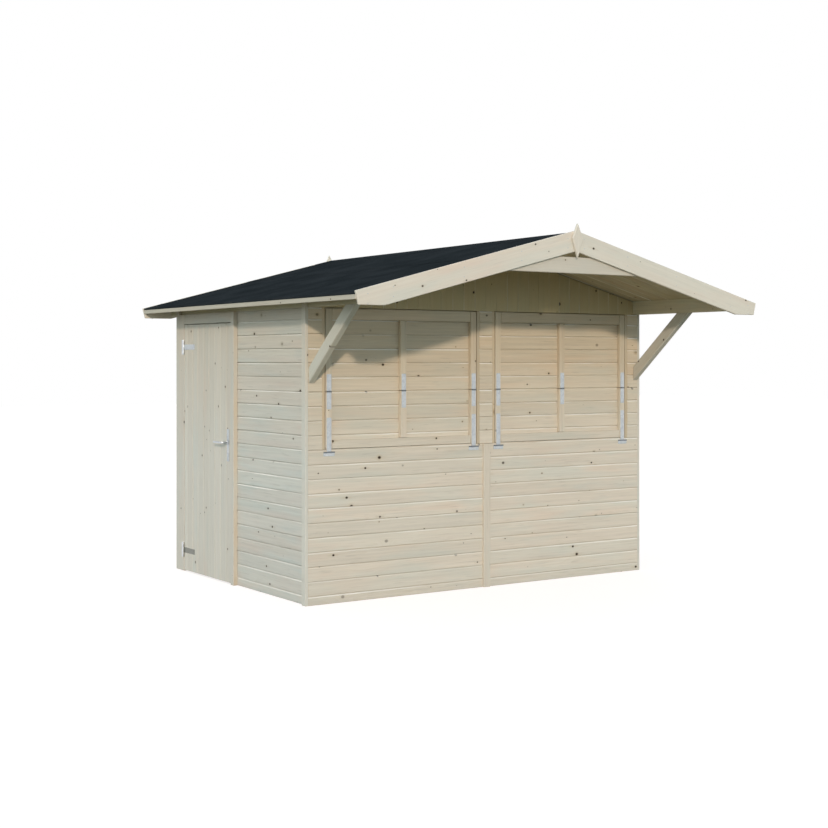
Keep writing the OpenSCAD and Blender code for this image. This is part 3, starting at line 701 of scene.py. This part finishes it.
zinc, tree, shader = new_finish("galvanised_steel")
place = object_place(tree)
flower = put(tree, "ShaderNodeTexVoronoi", {"Vector": place, "Scale": 95.0}).outputs
petal = channels(tree, flower["Color"])[0]
dull = noise(tree, place, 28.0, 4.0)[0]
skin = blend(tree, petal, colour(184, 190, 193), colour(196, 202, 204))
skin = blend(tree, remap(tree, dull, 0.5, 0.75, 0.0, 0.6), skin, colour(164, 170, 178))
_, depth, height = put(tree, "ShaderNodeSeparateXYZ", (place,)).outputs
strap_end, jamb_start, splash_full, splash_top = 1.280, 1.288, 0.2, 0.6
on_leaf = ramp_down(tree, depth, strap_end, jamb_start)
splash = reckon(tree, "MULTIPLY", ramp_down(tree, height, splash_full, splash_top),
                reckon(tree, "MULTIPLY", on_leaf, 0.75))
skin = blend(tree, splash, skin, colour(112, 112, 98))
skin = blend(tree, reckon(tree, "MULTIPLY_ADD", on_leaf, -0.6, 0.6), skin, colour(222, 225, 229))
petal_rough = reckon(tree, "MULTIPLY_ADD", petal, 0.05, 0.34)
feed(tree, shader, {"Base Color": skin, "Roughness": reckon(tree, "MULTIPLY_ADD", dull, 0.25, petal_rough),
                    "Normal": relief_of(tree, petal, 0.1, 0.0003), "Metallic": 1.0})

# Painted shade: a dark steel on the knuckles stands in for the shadow line under each barrel.
shade_dark_steel, tree, shader = new_finish("knuckle_shade_steel")
dark_mottle = noise(tree, object_place(tree), 160.0, 3.0)[0]
feed(tree, shader, {"Base Color": blend(tree, dark_mottle, colour(112, 119, 124), colour(148, 154, 158)),
                    "Roughness": reckon(tree, "MULTIPLY_ADD", dark_mottle, 0.3, 0.25), "Metallic": 1.0})

# Bargeboard screws. Galvanised, in pairs along each board, one near either edge,
# driven almost flush.

barge_screws = []
screw_stations = np.array([0.07, 0.45, 0.9, 1.42, 1.6])
for place_name, front in (("front", -1), ("back", 1)):
    corners = solids(place_name + "_bargeboard_right")[0]
    foot, head = np.sort(corners[corners[:, 0] < near][:, 2])[[0, -1]]
    board_face = front * np.abs(corners[:, 1]).max()
    for side in (-1, 1):
        for drop in (0.28, 0.72):
            row = np.stack([side * screw_stations, 0 * screw_stations + board_face,
                            head - screw_stations * slope - drop * (head - foot)], 1)
            barge_screws += heads(row, (0, front, 0), 0.0036, 0.1)
piece("barge_screws", barge_screws, zinc, "hut")

# Serving hatches. Each has two leaves of level boards, hinged to fold, with upright
# battens and a rail on the outside, flush with the wall; a longer tongue covers the
# fold from behind, and sawn stops fill the reveals beside them.

leaf_thick, fold_tongue = 0.016, 0.0038
for node in ("left_hatch_upper", "left_hatch_lower", "right_hatch_upper", "right_hatch_lower"):
    piece(node.replace("hatch", "leaf"), wall("front", node, leaf_thick, fold_tongue), sunned_boards, "hut",
          [node])
piece("leaf_battens", sticks("hatch_battens", ease=0.002), sunned_boards, "hut", ["hatch_battens"])
stop_wide, stop_back, stop_parts = 0.021, 0.002, []
wall_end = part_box("front_wall_piers")[1].x
for corners in solids("front_wall_piers"):
    low, high = corners.min(0), corners.max(0)
    stop_face = low[1] + stop_back
    for edge, way in ((low[0], -1), (high[0], 1)):
        if abs(edge) < wall_end - 0.001:
            left, right = sorted((edge, edge + way * stop_wide))
            outline = np.array([(left, stop_face), (right, stop_face), (right, high[1]), (left, high[1])])
            stop_parts.append(stick(outline, low[2], high[2], 2, ease=0.001))
piece("hatch_stops", stop_parts, sawn_pine, "hut")

# Hatch hinges. Flat galvanised straps with rolled knuckles on a level pin: fold
# hinges across the leaves and tee hinges from the leaves to the wall below.


def plate(low, high, axis, corner=0.004):
    """A flat plate with round corners and softened rims, thin along an axis."""
    span = [(low[(axis + i) % 3], high[(axis + i) % 3]) for i in (1, 2)]
    square = np.array([(span[0][i], span[1][j]) for i, j in ((0, 0), (1, 0), (1, 1), (0, 1))])
    return stick(eased(square, 0, corner), low[axis], high[axis], axis, ease=0.0006)[:2]


def turned(middle, axis, reach, radius):
    """A turned shape: a radius for each distance along an axis, carried round it."""
    turn = np.linspace(0, 2 * pi, 24, endpoint=False)
    rings = np.empty((len(reach), 24, 3))
    rings[..., axis] = middle[axis] + np.array(reach)[:, None]
    rings[..., (axis + 1) % 3] = middle[(axis + 1) % 3] + np.outer(radius, np.cos(turn))
    rings[..., (axis + 2) % 3] = middle[(axis + 2) % 3] + np.outer(radius, np.sin(turn))
    return carry(rings)


def knuckles(middle, axis, length, radius, count):
    """A rolled barrel: equal knuckles with softened ends, a hair apart on a pin that
    shows as a small round head at both ends."""
    size, half, pin_head = length / count, length / 2, 0.0012
    step = np.array([0, 0.0003, 0.0009, size - 0.0009, size - 0.0003, size])
    reach = (step + size * np.arange(count)[:, None]).ravel() - half
    shape = np.tile(np.array([0.80, 0.80, 1, 1, 0.80, 0.80]) * radius, count)
    reach = np.concatenate([[-half - pin_head, -half - pin_head * 0.5], reach,
                            [half + pin_head * 0.5, half + pin_head]])
    shape = np.concatenate([[0.3 * radius, 0.5 * radius], shape, [0.5 * radius, 0.3 * radius]])
    reach, once = np.unique(reach.round(7), return_index=True)
    return turned(middle, axis, reach, shape[once])


plate_thick, strap_wide, bar_high, pin_gap, barrel_short = 0.003, 0.035, 0.026, 0.001, 0.002
hatch_screw = 0.0042
fold_rise, fold_aside = np.array([0.030, 0.062, 0.098]), np.array([0.007, -0.007, 0.007])
tee_rise, tee_aside = np.array([0.035, 0.105, 0.165, 0.213]), np.array([0.006, -0.006, 0.006, 0])
bar_aside, bar_drop = np.array([-0.032, -0.011, 0.011, 0.032]), 0.013 + np.array([0, 0.005, 0.005, 0])
fold_parts, tee_parts, barrel_parts, hatch_screws = [], [], [], []
for corners in solids("hatch_fold_hinges"):
    low, high = corners.min(0), corners.max(0)
    radius, pin = (high[1] - low[1]) / 2, (low + high) / 2
    skin_face = high[1] - plate_thick
    fold_parts.append(plate((low[0], skin_face, low[2]), (high[0], high[1], pin[2] - pin_gap), 1))
    fold_parts.append(plate((low[0], skin_face, pin[2] + pin_gap), (high[0], high[1], high[2]), 1))
    barrel = high[0] - low[0] - barrel_short
    barrel_parts.append(knuckles((pin[0], high[1] - radius, pin[2]), 0, barrel, radius, 3))
    for way in (-1, 1):
        row = np.stack([pin[0] + fold_aside, 0 * fold_rise + skin_face, pin[2] + way * fold_rise], 1)
        hatch_screws += heads(row, -Y, hatch_screw, 0.3)
for corners in solids("hatch_tee_hinges"):
    low, high = corners.min(0), corners.max(0)
    radius = (high[1] - low[1]) / 2
    skin_face, middle, pin = high[1] - plate_thick, (low[0] + high[0]) / 2, low[2] + bar_high
    strap_low = (middle - strap_wide / 2, skin_face, pin + pin_gap)
    tee_parts.append(plate(strap_low, (middle + strap_wide / 2, high[1], high[2]), 1))
    tee_parts.append(plate((low[0], skin_face, low[2]), (high[0], high[1], pin - pin_gap), 1))
    barrel = high[0] - low[0] - barrel_short
    barrel_parts.append(knuckles((middle, high[1] - radius, pin), 0, barrel, radius, 5))
    row = np.stack([middle + tee_aside, 0 * tee_rise + skin_face, pin + tee_rise], 1)
    foot = np.stack([middle + bar_aside, 0 * bar_aside + skin_face, pin - bar_drop], 1)
    hatch_screws += heads(np.concatenate([row, foot]), -Y, hatch_screw, 0.3)
piece("fold_hinges", fold_parts, zinc, "hut", ["hatch_fold_hinges"], smooth=True)
piece("tee_hinges", tee_parts, zinc, "hut", ["hatch_tee_hinges"], smooth=True)
piece("hatch_barrels", barrel_parts, shade_dark_steel, "hut", smooth=True)
piece("hatch_screws", hatch_screws, zinc, "hut")

# Door. Upright tongued boards on three ledges with a brace in each bay, hung on
# two galvanised tee hinges at its back edge so that it swings outwards.

door_low, door_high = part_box("door_leaf")
door_thick = door_high.x - door_low.x
door_foot, door_top = square_cut(door_low.z), square_cut(door_high.z)
door_joints = courses(door_low.y, door_high.y, first=0.6605)
door_parts = [board(low, high, door_thick, Z, Y, (door_low.x, 0, 0), door_foot, door_top, chamfer=0.004)
              for low, high in zip(door_joints[:-1], door_joints[1:])]
piece("door_boards", door_parts, planed_trim, "door", ["door_leaf"])


def ledge_grain(corners):
    """Ledges have level grain, and a brace has it from its foot to its head."""
    low, high = corners[corners[:, 2].argmin()], corners[corners[:, 2].argmax()]
    foot, head = (corners[np.abs(corners[:, 2] - end[2]) < near].mean(0) for end in (low, high))
    return Y if abs(foot[1] - head[1]) < 0.01 else head - foot


piece("door_frame", sticks("door_ledges", axis=0, along=ledge_grain, ease=0.003), sawn_pine, "door",
      ["door_ledges"])


def softened(node, width=0.0006):
    """A CAD node kept as it is, its triangles welded, its edges softened and its
    surface galvanised."""
    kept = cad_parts[node]
    weld = kept.modifiers.new("weld", "WELD")
    weld.merge_threshold = 0.00002
    edge = kept.modifiers.new("soft_edges", "BEVEL")
    edge.width, edge.segments = width, 2
    edge.limit_method, edge.angle_limit = "ANGLE", radians(40)
    kept.data.materials.clear()
    kept.data.materials.append(zinc)


for node in ("door_hinge_straps", "door_hinge_plates", "door_lock_plates"):
    softened(node)
door_screw, hinge_edge = 0.0045, 0.006
strap_reach, strap_rise = np.array([0.022, 0.075, 0.128, 0.170]), np.array([0.009, -0.009, 0.009, 0])
jamb_rise, jamb_reach = np.array([-0.044, -0.016, 0.016, 0.044]), np.array([0.020, 0.012, 0.012, 0.020])
outer_face, inner_face = door_low.x - plate_thick, door_high.x + plate_thick
strap_screws, jamb_screws = [], []
for corners in solids("door_hinge_straps"):
    low, high = corners.min(0), corners.max(0)
    row = np.stack([0 * strap_reach + outer_face, high[1] - hinge_edge - strap_reach,
                    (low[2] + high[2]) / 2 + strap_rise], 1)
    strap_screws += heads(row, -X, door_screw, 0.3)
for corners in solids("door_hinge_plates"):
    low, high = corners.min(0), corners.max(0)
    row = np.stack([0 * jamb_rise + outer_face, high[1] - jamb_reach, (low[2] + high[2]) / 2 + jamb_rise], 1)
    jamb_screws += heads(row, -X, door_screw, 0.3)

# Lock and lever. Long plates on both faces with a keyhole barrel under the
# spindle, and one bent lever of satin metal on each side, sprung level.

lever_low, lever_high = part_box("door_lever")
plate_low, plate_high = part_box("door_lock_plates")
spindle_y, spindle_z = lever_low.y + 0.009, (lever_low.z + lever_high.z) / 2
satin, tree, shader = new_finish("satin_metal")
place = object_place(tree)
brushed = noise(tree, stretch(tree, place, 900.0, 40.0, 900.0), 1.0, 2.0)[0]
touched = noise(tree, place, 45.0, 3.0)[0]
brushed_rough = reckon(tree, "MULTIPLY_ADD", brushed, 0.12, 0.16)
feed(tree, shader, {"Base Color": blend(tree, brushed, colour(178, 184, 189), colour(206, 210, 213)),
                    "Roughness": reckon(tree, "MULTIPLY_ADD", touched, 0.25, brushed_rough),
                    "Normal": relief_of(tree, brushed, 0.2, 0.0002), "Metallic": 1.0})


def lever(way, face, reach_out):
    """A rounded bar carried along a path: straight out of the door, round a quarter
    circle and along the leaf, its end drawn in to a soft tip. Its outline is an oval
    whose cosine and sine are raised to a power below one."""
    bend, length, tip_length, squareness = 0.016, lever_high.y - spindle_y, 0.006, 0.7
    half_deep, half_high = 0.0060, 0.0072
    turn = np.linspace(0, pi / 2, 9)
    out = np.concatenate([[0, 0.012], reach_out - bend + bend * np.sin(turn), np.full(9, reach_out)])
    tip = length - tip_length + tip_length * np.sin(np.linspace(0, pi / 2, 5))
    aside = np.concatenate([[0, 0], bend * (1 - np.cos(turn)), [0.04, 0.07, 0.10, length - 0.012], tip])
    swell = np.concatenate([np.ones(15), np.sqrt(np.clip(1 - np.linspace(0, 0.97, 5) ** 2, 0, 1))])
    line = np.stack([face + way * out, spindle_y + aside, 0 * out + spindle_z], 1)
    ahead = np.gradient(line, axis=0)
    ahead /= np.linalg.norm(ahead, axis=1, keepdims=True)
    sideways = np.cross(Z, ahead)
    angle = np.linspace(0, 2 * pi, 20, endpoint=False)
    deep = np.sign(np.cos(angle)) * np.abs(np.cos(angle)) ** squareness * half_deep
    tall = np.sign(np.sin(angle)) * np.abs(np.sin(angle)) ** squareness * half_high
    oval = deep[:, None] * sideways[:, None] + tall[:, None] * Z
    return carry(line[:, None] + swell[:, None, None] * oval)


def turned_from(face, way, y, z, reach, radius):
    """A turned shape that stands out of one face of the door."""
    order = slice(None) if way > 0 else slice(None, None, -1)
    return turned((face, y, z), 0, (np.array(reach) * way)[order], np.array(radius)[order])


clear = 0.0004
lever_reach = outer_face - lever_low.x - 0.007 - clear
lever_parts = [lever(-1, outer_face - clear, lever_reach), lever(1, inner_face + clear, lever_reach)]
lever_parts += [turned_from(face, way, spindle_y, spindle_z, (0, 0.001, 0.005, 0.006),
                            (0.0125, 0.0135, 0.0135, 0.0125))
                for way, face in ((-1, outer_face - clear), (1, inner_face + clear))]
piece("lever_handles", lever_parts, satin, "lever", ["door_lever"], smooth=True)
lock_parts = []
lock_middle = (plate_low.y + plate_high.y) / 2
barrel_drop, key_top, key_foot, key_half, key_proud, screw_margin = 0.072, 0.074, 0.097, 0.005, 0.003, 0.014
for way, face in ((-1, outer_face), (1, inner_face)):
    lock_parts.append(turned_from(face, way, lock_middle, spindle_z - barrel_drop, (0, 0.002, 0.003),
                                  (0.0085, 0.0085, 0.0078)))
    inside, outside = sorted((face, face + key_proud * way))
    lock_parts.append(plate((inside, lock_middle - key_half, spindle_z - key_foot),
                            (outside, lock_middle + key_half, spindle_z - key_top), 0, 0.003))
    row = np.array([(face, lock_middle, plate_low.z + screw_margin),
                    (face, lock_middle, plate_high.z - screw_margin)])
    strap_screws += heads(row, way * X, 0.0042, 0.25)
piece("lock_barrels", lock_parts, satin, "door", smooth=True)
piece("door_screws", strap_screws, zinc, "door")
piece("jamb_screws", jamb_screws, zinc, "hut")

# Floor and light. A plain pale ground that shows white and keeps a soft shadow, a
# low warm key from the front left, wide soft fills from the left and from behind,
# and a cool sky that is brightest at the horizon but shows white.

ground_reach = 40.0
ground = bpy.data.meshes.new("ground")
ground.from_pydata([(-ground_reach, -ground_reach, 0), (ground_reach, -ground_reach, 0),
                    (ground_reach, ground_reach, 0), (-ground_reach, ground_reach, 0)], [], [(0, 1, 2, 3)])
floor = bpy.data.objects.new("floor", ground)
bpy.context.scene.collection.objects.link(floor)


def seen_directly(tree):
    """1 for what the camera sees, straight, in metal or through glass, else 0."""
    rays = put(tree, "ShaderNodeLightPath").outputs
    mirrored = reckon(tree, "MAXIMUM", rays["Is Glossy Ray"], rays["Is Transmission Ray"])
    return reckon(tree, "MAXIMUM", rays["Is Camera Ray"], mirrored)


pale_ground = bpy.data.materials.new("pale_ground")
pale_ground.use_nodes = True
tree = pale_ground.node_tree
tree.nodes.clear()
glow = put(tree, "ShaderNodeEmission", ((1, 1, 1, 1), 0.72)).outputs[0]
lit = put(tree, "ShaderNodeBsdfDiffuse", ((0.48, 0.41, 0.38, 1),)).outputs[0]
shown = put(tree, "ShaderNodeAddShader", (glow, lit)).outputs[0]
bounce = put(tree, "ShaderNodeBsdfDiffuse", ((0.21, 0.20, 0.15, 1),)).outputs[0]
surface = put(tree, "ShaderNodeMixShader", (seen_directly(tree), bounce, shown)).outputs[0]
put(tree, "ShaderNodeOutputMaterial", (surface,))
ground.materials.append(pale_ground)

world = bpy.data.worlds.new("studio")
bpy.context.scene.world = world
world.use_nodes = True
tree = world.node_tree
tree.nodes.clear()
skyward = put(tree, "ShaderNodeTexCoord").outputs["Generated"]
way_up = put(tree, "ShaderNodeSeparateXYZ", (skyward,)).outputs[2]
graded = blend(tree, ramp_down(tree, way_up, 0.05, 0.6), (0.38, 0.50, 0.60, 1), (1.07, 1.29, 1.39, 1))
sky = put(tree, "ShaderNodeBackground", (graded, 1.0)).outputs[0]
white = put(tree, "ShaderNodeBackground", ((1, 1, 1, 1), 1.0)).outputs[0]
backdrop = put(tree, "ShaderNodeMixShader", (seen_directly(tree), sky, white)).outputs[0]
put(tree, "ShaderNodeOutputWorld", (backdrop,))


def lamp(name, travel, strength, tint, spread):
    """A distant soft lamp: the way its light travels, its strength and how wide it is."""
    light = bpy.data.lights.new(name, "SUN")
    light.energy, light.color, light.angle = strength, tint, radians(spread)
    made = bpy.data.objects.new(name, light)
    made.rotation_euler = Vector(travel).to_track_quat("-Z", "Y").to_euler()
    bpy.context.scene.collection.objects.link(made)


lamp("key", (0.59, 1.0, -0.344), 1.80, (1.0, 0.85, 0.73), 2.5)
lamp("left_fill", (1.0, 0.12, -0.45), 0.46, (1.0, 0.98, 0.92), 50)
lamp("back_fill", (-0.5, -1.0, -0.55), 0.5, (1.0, 0.88, 0.76), 50)

# Camera. Level, at the height of a person's eye, to the left of the front.

lens = bpy.data.cameras.new("viewer")
lens.lens, lens.sensor_width, lens.shift_y = 61.19, 36.0, -0.064
viewer = bpy.data.objects.new("viewer", lens)
viewer.location = (-5.976, -8.6695, 1.607)
viewer.rotation_euler = (pi / 2, 0, -np.arctan2(0.5537, 0.8327))
bpy.context.scene.collection.objects.link(viewer)
bpy.context.scene.camera = viewer
bpy.context.scene.view_settings.view_transform = "Standard"
